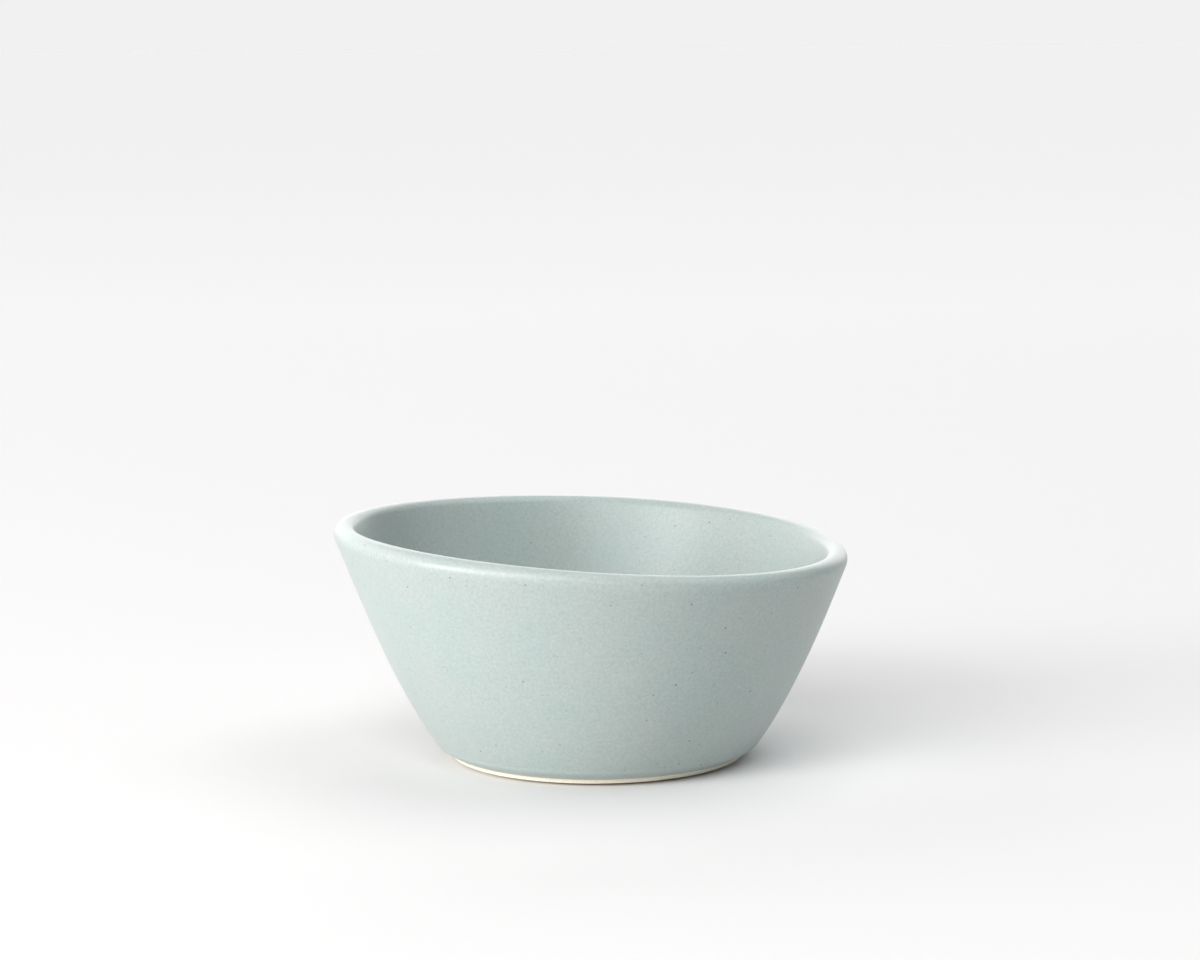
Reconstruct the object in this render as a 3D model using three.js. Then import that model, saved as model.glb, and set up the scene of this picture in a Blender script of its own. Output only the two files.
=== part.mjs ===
// A glazed stoneware breakfast bowl: a thrown clay body that stands on a trimmed foot ring, one coat of
// glaze over the inside, the lip and the outside, and a patch of glaze in the recess under the foot.
// Millimetres, +Z up. The bowl stands on Z = 0, and the origin is under the middle of its reach.

import * as THREE from 'three';

const { degToRad, smoothstep } = THREE.MathUtils;

// The lip: its outermost reach and its top, both at its middle height
const RIM_RADIUS = 75;
const RIM_HEIGHT = 66.05;

// The thrown rim is out of level: higher on -X than on +X, and a little twisted, most just past 45 degrees
const RIM_SLANT = 8.5;
const RIM_TWIST = 0.64;
const RIM_TWIST_TURN = degToRad(7.4);

// The wall, with its glaze, which ends in a full round, and how far it leans at the heel and under the lip
const WALL = 6.2;
const HEEL_LEAN = degToRad(34);
const RIM_LEAN = degToRad(21.4);

// Inside: the clay and glaze over the recess, and the reach of the curve from floor to wall
const FLOOR_THICKNESS = 6;
const INSIDE_CURVE = 22;

// The foot: a bare band of clay, flared like the wall, cut back under its edge to the ring that it stands on
const FOOT_RADIUS = 43;
const FOOT_LEAN = degToRad(34.6);
const BARE_HEIGHT = 2.28;
const CUT_HEIGHT = 0.95;
const CUT_DEPTH = 4.4;
const FOOT_LAND = 4;
const RECESS_DEPTH = 2.45;
const RECESS_SLOPE = 2;

// The heel: where the wall turns in above the bare clay
const HEEL_RISE = 2.72;
const HEEL_OVERHANG = 4.9;
const HEEL_TUCK = 1.6;

const GLAZE = 0.4;
const GLAZE_EDGE = 0.3;

// Steps round the axis, and along each stretch of the section
const TURN_STEPS = 60;
const FLOOR_STEPS = 6;
const WALL_STEPS = 7;
const LIP_STEPS = 8;
const HEEL_STEPS = 3;

// A section point: distance from the axis, and height
const at = (radius, height) => new THREE.Vector2(radius, height);

// The way up a wall that leans outwards by an angle
const upAlong = (lean) => at(Math.sin(lean), Math.cos(lean));

const floorHeight = RECESS_DEPTH + FLOOR_THICKNESS;
const lipRound = WALL / 2;

// The lip, half a turn from the inside of the wall to the outside
function lipSection() {
  const arc = new THREE.ArcCurve(
    RIM_RADIUS - lipRound, RIM_HEIGHT - lipRound, lipRound, Math.PI - RIM_LEAN, -RIM_LEAN, true);
  return arc.getPoints(LIP_STEPS);
}

// The outside of the wall, from the heel up to where it runs into the lip
function outsideWall(heel, neck) {
  const third = heel.distanceTo(neck) / 3;
  const lower = heel.clone().addScaledVector(upAlong(HEEL_LEAN), third);
  const upper = neck.clone().addScaledVector(upAlong(RIM_LEAN), -third);
  return new THREE.CubicBezierCurve(heel, lower, upper, neck);
}

// The visible section of the glaze, from the middle of the floor over the lip to the edge above the foot.
// The inside wall keeps one thickness from the outside, down to the curve that turns into the floor.
function glazedSection() {
  const lip = lipSection();
  const neck = lip.at(-1);
  const heel = at(FOOT_RADIUS + HEEL_OVERHANG, BARE_HEIGHT + HEEL_RISE);
  const wall = outsideWall(heel, neck);

  const insideAt = (share) => {
    const along = wall.getTangentAt(share);
    return wall.getPointAt(share).addScaledVector(at(-along.y, along.x), WALL);
  };
  const curveShare = INSIDE_CURVE / wall.getLength();
  const curveTop = insideAt(curveShare);
  const lean = wall.getTangentAt(curveShare);
  const corner = curveTop.clone().addScaledVector(lean, (floorHeight - curveTop.y) / lean.y);
  const floorEdge = at(corner.x - INSIDE_CURVE, floorHeight);
  const floorCurve = new THREE.QuadraticBezierCurve(floorEdge, corner, curveTop);

  const insideWall = [];
  for (let step = 1; step <= WALL_STEPS; step += 1) {
    insideWall.push(insideAt(THREE.MathUtils.lerp(curveShare, 1, step / WALL_STEPS)));
  }
  const wallDown = wall.getSpacedPoints(WALL_STEPS).reverse();
  const tuck = heel.clone().addScaledVector(upAlong(HEEL_LEAN), -HEEL_TUCK);
  const flare = (BARE_HEIGHT - CUT_HEIGHT) * Math.tan(FOOT_LEAN);
  const glazeEdge = at(FOOT_RADIUS + flare, BARE_HEIGHT);
  const heelCurve = new THREE.QuadraticBezierCurve(heel, tuck, glazeEdge);

  return {
    points: [
      at(0, floorHeight),
      ...floorCurve.getPoints(FLOOR_STEPS),
      ...insideWall,
      ...lip.slice(1),
      ...wallDown.slice(1),
      ...heelCurve.getPoints(HEEL_STEPS).slice(1),
    ],
    trueHeight: curveTop.y,
    neckHeight: neck.y,
  };
}

// The clay's section under the glaze: each point of the glaze moved square to it, into the clay
function underGlaze(points) {
  return points.map((point, index) => {
    if (index === 0) return at(0, point.y - GLAZE);
    const next = points[Math.min(index + 1, points.length - 1)];
    const along = next.clone().sub(points[index - 1]).normalize();
    return point.clone().addScaledVector(at(along.y, -along.x), GLAZE);
  });
}

const section = glazedSection();
const under = underGlaze(section.points);

// Height of the rim above its middle, round the bowl from +X towards +Y
function rimLift(angle) {
  return RIM_TWIST * Math.sin(2 * (angle - RIM_TWIST_TURN)) - (RIM_SLANT / 2) * Math.cos(angle);
}

// Turns a section round the axis, then slides the upper wall along its own lean to the slanted rim
function turned(points) {
  const geometry = new THREE.LatheGeometry(points, TURN_STEPS);
  geometry.rotateX(Math.PI / 2);
  const position = geometry.getAttribute('position');
  const vertex = new THREE.Vector3();
  for (let index = 0; index < position.count; index += 1) {
    vertex.fromBufferAttribute(position, index);
    const share = smoothstep(vertex.z, section.trueHeight, section.neckHeight);
    if (share > 0) {
      const angle = Math.atan2(vertex.y, vertex.x);
      const lift = rimLift(angle) * share;
      const radius = Math.hypot(vertex.x, vertex.y) + lift * Math.tan(RIM_LEAN);
      position.setXYZ(index, radius * Math.cos(angle), radius * Math.sin(angle), vertex.z + lift);
    }
  }
  geometry.computeVertexNormals();
  return geometry;
}

const ringRadius = FOOT_RADIUS - CUT_DEPTH;
const recessEdge = ringRadius - FOOT_LAND;
const roofRadius = recessEdge - RECESS_SLOPE;

// Thrown and trimmed stoneware, bare on the foot. Its section runs the same way as the glaze's, so that
// both split each facet that they share along one diagonal, and its faces are then turned outwards.
function clayBody() {
  const foot = [
    at(FOOT_RADIUS, CUT_HEIGHT),
    at(ringRadius, 0),
    at(recessEdge, 0),
    at(roofRadius, RECESS_DEPTH),
    at(0, RECESS_DEPTH),
  ];
  const geometry = turned([...under, ...foot]);
  geometry.index.array.reverse();
  const clay = new THREE.MeshStandardMaterial({ color: 0xe9dfce, roughness: 0.85, metalness: 0 });
  const mesh = new THREE.Mesh(geometry, clay);
  mesh.name = 'clay_body';
  return mesh;
}

// Satin glaze, one coat over the inside, the lip and the outside
function glazeCoat() {
  const glaze = new THREE.MeshStandardMaterial({ color: 0xb3c4c0, roughness: 0.45, metalness: 0 });
  const mesh = new THREE.Mesh(turned([...under, ...section.points.toReversed()]), glaze);
  mesh.name = 'glaze_coat';
  return mesh;
}

// The same glaze on the roof of the recess, clear of the foot ring
function recessGlaze() {
  const patch = [
    at(0, RECESS_DEPTH - GLAZE),
    at(roofRadius - GLAZE_EDGE, RECESS_DEPTH - GLAZE),
    at(roofRadius, RECESS_DEPTH),
    at(0, RECESS_DEPTH),
  ];
  const glaze = new THREE.MeshStandardMaterial({ color: 0xb3c4c0, roughness: 0.45, metalness: 0 });
  const mesh = new THREE.Mesh(turned(patch), glaze);
  mesh.name = 'recess_glaze';
  return mesh;
}

// The slanted rim reaches further on its high side, so the axis stands off the middle by half the difference
const bowl = new THREE.Group();
bowl.name = 'breakfast_bowl';
bowl.position.x = (RIM_SLANT / 2) * Math.tan(RIM_LEAN);
bowl.add(clayBody(), glazeCoat(), recessGlaze());

export default bowl;
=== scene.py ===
import math

import bpy
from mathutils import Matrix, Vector


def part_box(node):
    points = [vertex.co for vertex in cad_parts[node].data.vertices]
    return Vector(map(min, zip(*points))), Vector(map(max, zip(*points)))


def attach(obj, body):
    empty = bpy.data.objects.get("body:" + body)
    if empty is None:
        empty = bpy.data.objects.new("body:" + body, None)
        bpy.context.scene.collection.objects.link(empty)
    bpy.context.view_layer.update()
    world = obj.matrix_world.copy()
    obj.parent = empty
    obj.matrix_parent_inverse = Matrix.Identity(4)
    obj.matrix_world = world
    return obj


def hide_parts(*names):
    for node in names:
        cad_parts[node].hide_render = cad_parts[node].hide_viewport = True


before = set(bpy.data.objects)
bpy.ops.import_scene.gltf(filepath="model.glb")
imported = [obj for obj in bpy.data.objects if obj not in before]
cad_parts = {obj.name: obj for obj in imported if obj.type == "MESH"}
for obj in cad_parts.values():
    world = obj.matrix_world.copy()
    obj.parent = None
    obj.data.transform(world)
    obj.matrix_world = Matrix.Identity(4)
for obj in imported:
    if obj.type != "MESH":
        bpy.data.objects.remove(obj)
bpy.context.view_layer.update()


# Clay body
# Buff stoneware thrown on a wheel, with a rim that came out a little slanted. It was turned over, trimmed to
# a low foot ring with a shallow recess, and wiped bare at the foot before firing. The rest is under glaze.

MM = 0.001

# The lip and the wall, in millimetres with their glaze, at the middle of the slanting rim
RIM_RADIUS = 75.0
RIM_HEIGHT = 66.05
RIM_SLANT = 8.5
RIM_TWIST = 0.64
RIM_TWIST_TURN = math.radians(7.4)
RIM_LEAN = math.radians(21.4)
WALL = 6.2
GLAZE = 0.4

# The foot: a flared band of bare clay, cut back under its edge to the ring, and the recess inside the ring
FOOT_RADIUS = 43.0
FOOT_LEAN = math.radians(34.6)
BARE_HEIGHT = 2.28
CUT_HEIGHT = 0.95
CUT_DEPTH = 4.4
FOOT_LAND = 4.0
RECESS_DEPTH = 2.45
RECESS_SLOPE = 2.0

# From the glaze's edge to where the clay comes out from under it, and how far the foot's edges are rounded
GLAZE_LAP = Vector((-0.3, 0.18))
BAND_ROUND = 0.26
RING_ROUND = 0.3
RECESS_ROUND = 0.4
ROOF_ROUND = 0.5

# The heel above the foot, and the shallow mark that the trimming tool left on the wall there
HEEL_LEAN = math.radians(34)
HEEL_RISE = 2.72
HEEL_OVERHANG = 4.9
HEEL_TUCK = 1.6
GROOVE_DEPTH = 0.1
GROOVE_HEIGHT = 5.85
GROOVE_REACH = 0.8

# The inside
FLOOR_THICKNESS = 6.0
INSIDE_CURVE = 22.0

# Steps round the axis and along each stretch of the section, which crowd towards the heel on the outside
TURN_STEPS = 240
LIP_STEPS = 24
OUTSIDE_STEPS = 34
OUTSIDE_CROWDING = 1.6
INSIDE_STEPS = 20
FLOOR_STEPS = 16
HEEL_STEPS = 12
EDGE_STEPS = 6

low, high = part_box("recess_glaze")
axis_x = (low.x + high.x) / 2


def shares(steps):
    """Even shares of a way, from its start to its end."""
    return [step / steps for step in range(steps + 1)]


def along(pulls, share):
    """A point on the smooth curve that these points pull on, at a share of its way."""
    while len(pulls) > 1:
        pulls = [start.lerp(end, share) for start, end in zip(pulls, pulls[1:])]
    return pulls[0]


def up_along(lean):
    """The way up a wall that leans outwards by an angle."""
    return Vector((math.sin(lean), math.cos(lean)))


def moved(section, distance):
    """A section moved square to itself, to its right as it runs, by a distance or one for each point."""
    places = []
    for index, point in enumerate(section):
        way = (section[min(index + 1, len(section) - 1)] - section[max(index - 1, 0)]).normalized()
        step = distance(point) if callable(distance) else distance
        places.append(point + Vector((way.y, -way.x)) * step)
    return places


def groove(point):
    """How far the trimming mark lies under the wall at a point of it."""
    return GROOVE_DEPTH * math.exp(-((point.y - GROOVE_HEIGHT) / GROOVE_REACH) ** 2)


def disc(radius, height):
    """Points across a flat disc, from beside its middle to near its edge."""
    return [Vector((radius * share, height)) for share in (0.1, 0.3, 0.5, 0.7, 0.9)]


def sponged(start, corners, end):
    """A section from a start towards an end, with each corner between them rounded over its own reach."""
    section = [start]
    places = [start] + [corner for corner, reach in corners] + [end]
    for before, after, (corner, reach) in zip(places, places[2:], corners):
        pulls = [corner + (before - corner).normalized() * reach, corner,
                 corner + (after - corner).normalized() * reach]
        section += [along(pulls, share) for share in shares(EDGE_STEPS)]
    return section


# The glazed section, from the middle of the floor up the inside, over the lip and down to the glaze's edge
heel = Vector((FOOT_RADIUS + HEEL_OVERHANG, BARE_HEIGHT + HEEL_RISE))
glaze_line = Vector((FOOT_RADIUS + (BARE_HEIGHT - CUT_HEIGHT) * math.tan(FOOT_LEAN), BARE_HEIGHT))
floor_height = RECESS_DEPTH + FLOOR_THICKNESS
lip_round = WALL / 2
lip_middle = Vector((RIM_RADIUS - lip_round, RIM_HEIGHT - lip_round))
lip_turns = [math.pi * (1 - share) - RIM_LEAN for share in shares(LIP_STEPS)]
lip = [lip_middle + Vector((math.cos(turn), math.sin(turn))) * lip_round for turn in lip_turns]
neck = lip[-1]
third = (neck - heel).length / 3
wall_pulls = [heel, heel + up_along(HEEL_LEAN) * third, neck - up_along(RIM_LEAN) * third, neck]
outside = [along(wall_pulls, share ** OUTSIDE_CROWDING) for share in shares(OUTSIDE_STEPS)]
inside_start = INSIDE_CURVE / (neck - heel).length
inside_shares = [inside_start + (1 - inside_start) * share for share in shares(INSIDE_STEPS)]
inside = moved([along(wall_pulls, share) for share in inside_shares], -WALL)
inside_way = (inside[1] - inside[0]).normalized()
floor_corner = inside[0] - inside_way * ((inside[0].y - floor_height) / inside_way.y)
floor_edge = floor_corner - Vector((INSIDE_CURVE, 0))
floor_curve = [along([floor_edge, floor_corner, inside[0]], share) for share in shares(FLOOR_STEPS)[:-1]]
heel_pulls = [heel, heel - up_along(HEEL_LEAN) * HEEL_TUCK, glaze_line]
heel_curve = [along(heel_pulls, share) for share in shares(HEEL_STEPS)[1:]]
outer_face = moved(outside[::-1] + heel_curve, groove)
visible = disc(floor_edge.x, floor_height) + floor_curve + inside[:-1] + lip + outer_face[1:]

# The clay under the glaze needs only every other point of it, and leaves the glaze just before its edge
under = moved(visible, GLAZE)[:-2:2]


def rim_lift(angle):
    """How far the rim stands above its middle height, round the bowl from +X."""
    return RIM_TWIST * math.sin(2 * (angle - RIM_TWIST_TURN)) - RIM_SLANT / 2 * math.cos(angle)


def slant(piece):
    """Slides the upper wall of a piece along its own lean, up or down to the slanted rim."""
    level, top = inside[0].y * MM, neck.y * MM
    for vertex in piece.data.vertices:
        share = (vertex.co.z - level) / (top - level)
        if share > 0:
            share = min(share, 1)
            share = share * share * (3 - 2 * share)
            x, y = vertex.co.x - axis_x, vertex.co.y
            angle = math.atan2(y, x)
            lift = rim_lift(angle) * share * MM
            radius = math.hypot(x, y) + lift * math.tan(RIM_LEAN)
            vertex.co = (axis_x + radius * math.cos(angle), radius * math.sin(angle), vertex.co.z + lift)


def thrown(name, section):
    """Draws a section in millimetres, turns it round the axis, closes both ends and slants the rim."""
    bpy.ops.object.select_all(action="DESELECT")
    start = section[0]
    bpy.ops.mesh.primitive_plane_add(size=MM, location=(axis_x + start.x * MM, 0, start.y * MM))
    piece = bpy.context.object
    piece.name = piece.data.name = name
    bpy.ops.object.transform_apply(location=True)
    bpy.ops.object.mode_set(mode="EDIT")
    bpy.ops.mesh.select_all(action="SELECT")
    bpy.ops.mesh.merge(type="CENTER")
    for last, place in zip(section, section[1:]):
        step = (place - last) * MM
        bpy.ops.mesh.extrude_region_move(TRANSFORM_OT_translate={"value": (step.x, 0, step.y)})
    bpy.ops.mesh.select_all(action="SELECT")
    bpy.ops.mesh.spin(steps=TURN_STEPS, angle=2 * math.pi, center=(axis_x, 0, 0), axis=(0, 0, 1))
    bpy.ops.mesh.select_all(action="SELECT")
    bpy.ops.mesh.remove_doubles(threshold=0.001 * MM)
    bpy.ops.mesh.fill_holes(sides=0)
    bpy.ops.mesh.select_all(action="SELECT")
    bpy.ops.mesh.normals_make_consistent(inside=False)
    bpy.ops.object.mode_set(mode="OBJECT")
    bpy.ops.object.shade_smooth()
    slant(piece)
    return piece


def linear(code):
    """A colour written as sRGB hex, in the linear values that a shader takes."""
    parts = [int(code[index:index + 2], 16) / 255 for index in (1, 3, 5)]
    return [part / 12.92 if part <= 0.04045 else ((part + 0.055) / 1.055) ** 2.4 for part in parts] + [1]


def node(material, kind, settings=None, **inputs):
    """Adds a node to a material, sets its own settings, and sets or links its inputs, by name or number."""
    tree = material.node_tree
    added = tree.nodes.new(kind)
    for setting, value in (settings or {}).items():
        setattr(added, setting, value)
    for name, value in inputs.items():
        socket = added.inputs[int(name[1:])] if name[1:].isdigit() else added.inputs[name.replace("_", " ")]
        if isinstance(value, bpy.types.NodeSocket):
            tree.links.new(value, socket)
        else:
            socket.default_value = value
    return added


# The bare foot: the flared band with its crisp lower edge, cut back to the ring, and the recess inside it
bare_start = glaze_line + GLAZE_LAP
ring_radius = FOOT_RADIUS - CUT_DEPTH
recess_radius = ring_radius - FOOT_LAND
roof_radius = recess_radius - RECESS_SLOPE
roof = disc(roof_radius, RECESS_DEPTH)[::-1]
foot_corners = [
    (Vector((FOOT_RADIUS, CUT_HEIGHT)), BAND_ROUND),
    (Vector((ring_radius, 0)), RING_ROUND),
    (Vector((recess_radius, 0)), RECESS_ROUND),
    (Vector((roof_radius, RECESS_DEPTH)), ROOF_ROUND),
]
clay_body = thrown("fired_clay_body", under + sponged(bare_start, foot_corners, roof[0]) + roof)

# Matte cream clay, a little sandy, with fine darker grains of iron and lighter ones of grog
stoneware = bpy.data.materials.new("bare fired stoneware")
stoneware.use_nodes = True
stoneware.node_tree.nodes.clear()
place = node(stoneware, "ShaderNodeTexCoord").outputs["Object"]
grog = node(stoneware, "ShaderNodeTexNoise", Vector=place, Scale=1 / (0.7 * MM), Detail=3, Roughness=0.6)
tint = node(stoneware, "ShaderNodeValToRGB", Fac=grog.outputs["Fac"])
tint.color_ramp.elements[0].position = 0.3
tint.color_ramp.elements[0].color = linear("#f0e9d6")
tint.color_ramp.elements[1].position = 0.7
tint.color_ramp.elements[1].color = linear("#fbf6e8")
grain = node(stoneware, "ShaderNodeBump", Height=grog.outputs["Fac"], Strength=0.25, Distance=0.08 * MM)
bare = node(stoneware, "ShaderNodeBsdfPrincipled", Base_Color=tint.outputs["Color"],
            Roughness=0.85, IOR=1.5, Normal=grain.outputs["Normal"])
node(stoneware, "ShaderNodeOutputMaterial", Surface=bare.outputs["BSDF"])
clay_body.data.materials.append(stoneware)
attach(clay_body, "root")
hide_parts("clay_body")


# Glaze coat
# One dip of grey-green satin glaze, fused to the clay over the inside, the lip and the outside. It ends
# above the foot in a soft edge, where it was wiped back before firing.

# How far below the glaze's line the soft edge is drawn down
EDGE_DROP = 0.15

edge_pulls = [glaze_line, Vector((bare_start.x, BARE_HEIGHT - EDGE_DROP)), bare_start]
glaze_edge = [along(edge_pulls, share) for share in shares(EDGE_STEPS)[1:]]
glaze_coat = thrown("fired_glaze_coat", visible + glaze_edge + under[::-1])

# A pale grey-green glaze with a soft satin sheen. Near to, it is sandy, faintly clouded where it pooled, and
# here and there a speck of iron from the clay has burnt through it.
satin_glaze = bpy.data.materials.new("satin stoneware glaze")
satin_glaze.use_nodes = True
satin_glaze.node_tree.nodes.clear()
place = node(satin_glaze, "ShaderNodeTexCoord").outputs["Object"]
cloud = node(satin_glaze, "ShaderNodeTexNoise", Vector=place, Scale=1 / (20 * MM), Detail=2)
pooled = node(satin_glaze, "ShaderNodeValToRGB", Fac=cloud.outputs["Fac"])
pooled.color_ramp.elements[0].position = 0.35
pooled.color_ramp.elements[0].color = linear("#a7b6b3")
pooled.color_ramp.elements[1].position = 0.65
pooled.color_ramp.elements[1].color = linear("#abb6b3")
sand = node(satin_glaze, "ShaderNodeTexNoise", Vector=place, Scale=1 / (0.8 * MM), Detail=2, Roughness=0.55)
sandy = node(satin_glaze, "ShaderNodeMapRange", Value=sand.outputs["Fac"],
             From_Min=0.25, From_Max=0.75, To_Min=0.9, To_Max=1.1)
body = node(satin_glaze, "ShaderNodeMix", {"data_type": "RGBA", "blend_type": "MULTIPLY"},
            _0=1, _6=pooled.outputs["Color"], _7=sandy.outputs["Result"])

# Specks of two sizes: the space for each in millimetres, its reach as a share of that, and how dark the
# darkest is. Each is fainter than that by its own chance.
for spacing, reach, darkest in ((4.2, 0.075, 1), (2.2, 0.09, 0.5)):
    seed = node(satin_glaze, "ShaderNodeTexVoronoi", Vector=place, Scale=1 / (spacing * MM))
    dark = node(satin_glaze, "ShaderNodeMath", {"operation": "MULTIPLY"},
                _0=seed.outputs["Color"], _1=darkest)
    speck = node(satin_glaze, "ShaderNodeMapRange", Value=seed.outputs["Distance"],
                 From_Min=0.6 * reach, From_Max=1.2 * reach, To_Min=dark.outputs["Value"], To_Max=0)
    body = node(satin_glaze, "ShaderNodeMix", {"data_type": "RGBA"},
                _0=speck.outputs["Result"], _6=body.outputs[2], _7=linear("#5b5a4c"))
satin = node(satin_glaze, "ShaderNodeMapRange", Value=sand.outputs["Fac"],
             From_Min=0.25, From_Max=0.75, To_Min=0.32, To_Max=0.38)
skin = node(satin_glaze, "ShaderNodeBump", Height=sand.outputs["Fac"], Strength=0.15, Distance=0.04 * MM)
fused = node(satin_glaze, "ShaderNodeBsdfPrincipled", Base_Color=body.outputs[2],
             Roughness=satin.outputs["Result"], IOR=1.5, Normal=skin.outputs["Normal"])
node(satin_glaze, "ShaderNodeOutputMaterial", Surface=fused.outputs["BSDF"])
glaze_coat.data.materials.append(satin_glaze)
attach(glaze_coat, "root")
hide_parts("glaze_coat")


# Recess glaze
# The same dip of glaze, left on the roof of the recess inside the foot ring, where it touches no shelf in
# the kiln. It is a thin round patch with a soft edge, fused to the clay and wiped clear of the ring.

PATCH_CLEARANCE = 0.25
PATCH_ROUND = 0.75

patch_radius = roof_radius - PATCH_CLEARANCE
patch_height = RECESS_DEPTH - GLAZE
patch_pulls = [Vector((patch_radius - PATCH_ROUND, patch_height)), Vector((patch_radius, patch_height)),
               Vector((patch_radius, RECESS_DEPTH))]
patch_edge = [along(patch_pulls, share) for share in shares(EDGE_STEPS)]
patch_back = disc(patch_radius, RECESS_DEPTH)[::-1]
recess_glaze = thrown("fired_recess_glaze", disc(patch_radius, patch_height) + patch_edge + patch_back)
recess_glaze.data.materials.append(satin_glaze)
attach(recess_glaze, "root")
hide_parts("recess_glaze")


# Studio
# A wide pale table that runs into a pale room, soft window light from the left and in front, fill from the
# right, from above and from behind, and a camera at the photo's angle.

# In metres: the table, and the stretch behind the bowl on which it is painted paler, as painted light for the
# near lamps' fading
TABLE_SIZE = 60
PALER_FROM = 0.1
PALER_TO = 1.5

bpy.ops.object.select_all(action="DESELECT")
bpy.ops.mesh.primitive_plane_add(size=TABLE_SIZE, location=(0, 0, 0))
table = bpy.context.object
table.name = "table"

# Matte white paper. To the camera it is painted paler far off, as painted light that makes up for the near
# lamps fading across the table, and it throws less light back on the bowl than it shows, so that the wall
# keeps its shade.
paper = bpy.data.materials.new("matte white paper")
paper.use_nodes = True
paper.node_tree.nodes.clear()
spot = node(paper, "ShaderNodeSeparateXYZ", Vector=node(paper, "ShaderNodeTexCoord").outputs["Object"])
# Painted light: the table's colour grows paler behind the bowl, standing in for light that the near lamps
# lose there
far = node(paper, "ShaderNodeMapRange", Value=spot.outputs["Y"], From_Min=PALER_FROM, From_Max=PALER_TO)
pale = node(paper, "ShaderNodeMix", {"data_type": "RGBA"},
            _0=far.outputs["Result"], _6=linear("#eaeaea"), _7=linear("#f3f3f3"))
ray = node(paper, "ShaderNodeLightPath")
shown = node(paper, "ShaderNodeMix", {"data_type": "RGBA"},
             _0=ray.outputs["Is Camera Ray"], _6=linear("#e6e6e6"), _7=pale.outputs[2])
matte = node(paper, "ShaderNodeBsdfDiffuse", Color=shown.outputs[2])
node(paper, "ShaderNodeOutputMaterial", Surface=matte.outputs["BSDF"])
table.data.materials.append(paper)

# The room is as pale to the camera as the far table. In the sheen it is pale behind the bowl, and dark
# in front of it.
world = bpy.data.worlds.new("studio")
world.use_nodes = True
world.node_tree.nodes.clear()
ray = node(world, "ShaderNodeLightPath")
way = node(world, "ShaderNodeSeparateXYZ", Vector=node(world, "ShaderNodeTexCoord").outputs["Generated"])
behind = node(world, "ShaderNodeMapRange", Value=way.outputs["Y"],
              From_Min=0.5, From_Max=0.95, To_Min=0, To_Max=0.9)
sheen = node(world, "ShaderNodeMath", {"operation": "MULTIPLY"},
             _0=behind.outputs["Result"], _1=ray.outputs["Is Glossy Ray"])
seen = node(world, "ShaderNodeMath", {"operation": "ADD"},
            _0=sheen.outputs["Value"], _1=ray.outputs["Is Camera Ray"])
room = node(world, "ShaderNodeBackground", Color=linear("#f1f1f1"), Strength=seen.outputs["Value"])
node(world, "ShaderNodeOutputWorld", Surface=room.outputs["Background"])
bpy.context.scene.world = world

# Far lamps: bearing from +X and height above the table in degrees, spread, strength and colour
for name, bearing, height, spread, strength, colour in (
    ("window", 226, 26, 22, 0.6, "#ffffff"),
    ("softbox", 254, 40, 40, 1.2, "#ffffff"),
    ("right fill", 0, 45, 60, 0.62, "#f8feff"),
    ("overhead", 30, 70, 60, 1.0, "#ffffff"),
    ("left wall", 150, 15, 60, 1.2, "#fff8f7"),
    ("backdrop", 90, 15, 60, 1.3, "#fffcfc"),
):
    turn = (math.radians(90 - height), 0, math.radians(bearing + 90))
    bpy.ops.object.light_add(type="SUN", rotation=turn)
    lamp = bpy.context.object
    lamp.name = name
    lamp.data.angle = math.radians(spread)
    lamp.data.energy = strength
    lamp.data.color = linear(colour)[:3]

# Near lamps, which fade across the table: the same, but with a distance and a width in metres, and watts
for name, bearing, height, distance, width, watts, colour in (
    ("low window", 205, 8, 2.5, 1.1, 45, "#fff6f5"),
    ("near softbox", 230, 20, 1.3, 0.8, 5.4, "#fffcfb"),
):
    level = distance * math.cos(math.radians(height))
    turn = math.radians(bearing)
    spot = Vector((level * math.cos(turn), level * math.sin(turn), distance * math.sin(math.radians(height))))
    bpy.ops.object.light_add(type="AREA", location=spot, rotation=(-spot).to_track_quat("-Z", "Y").to_euler())
    lamp = bpy.context.object
    lamp.name = name
    lamp.data.size = width
    lamp.data.energy = watts
    lamp.data.color = linear(colour)[:3]

# The camera, fitted to the photo's outline: metres from the bowl's axis and the table, and turns in radians
CAMERA_ASIDE = 0.00112
CAMERA_AWAY = 0.936
CAMERA_HEIGHT = 0.212902
CAMERA_TILT = 0.139517
CAMERA_TURN = -0.00763
CAMERA_LENS = 97.112
CAMERA_SENSOR = 36

bpy.ops.object.camera_add(location=(axis_x + CAMERA_ASIDE, -CAMERA_AWAY, CAMERA_HEIGHT))
camera = bpy.context.object
camera.rotation_mode = "ZXY"
camera.rotation_euler = (math.pi / 2 - CAMERA_TILT, 0, CAMERA_TURN)
camera.data.sensor_width = CAMERA_SENSOR
camera.data.lens = CAMERA_LENS
bpy.context.scene.camera = camera
bpy.context.scene.view_settings.view_transform = "Standard"
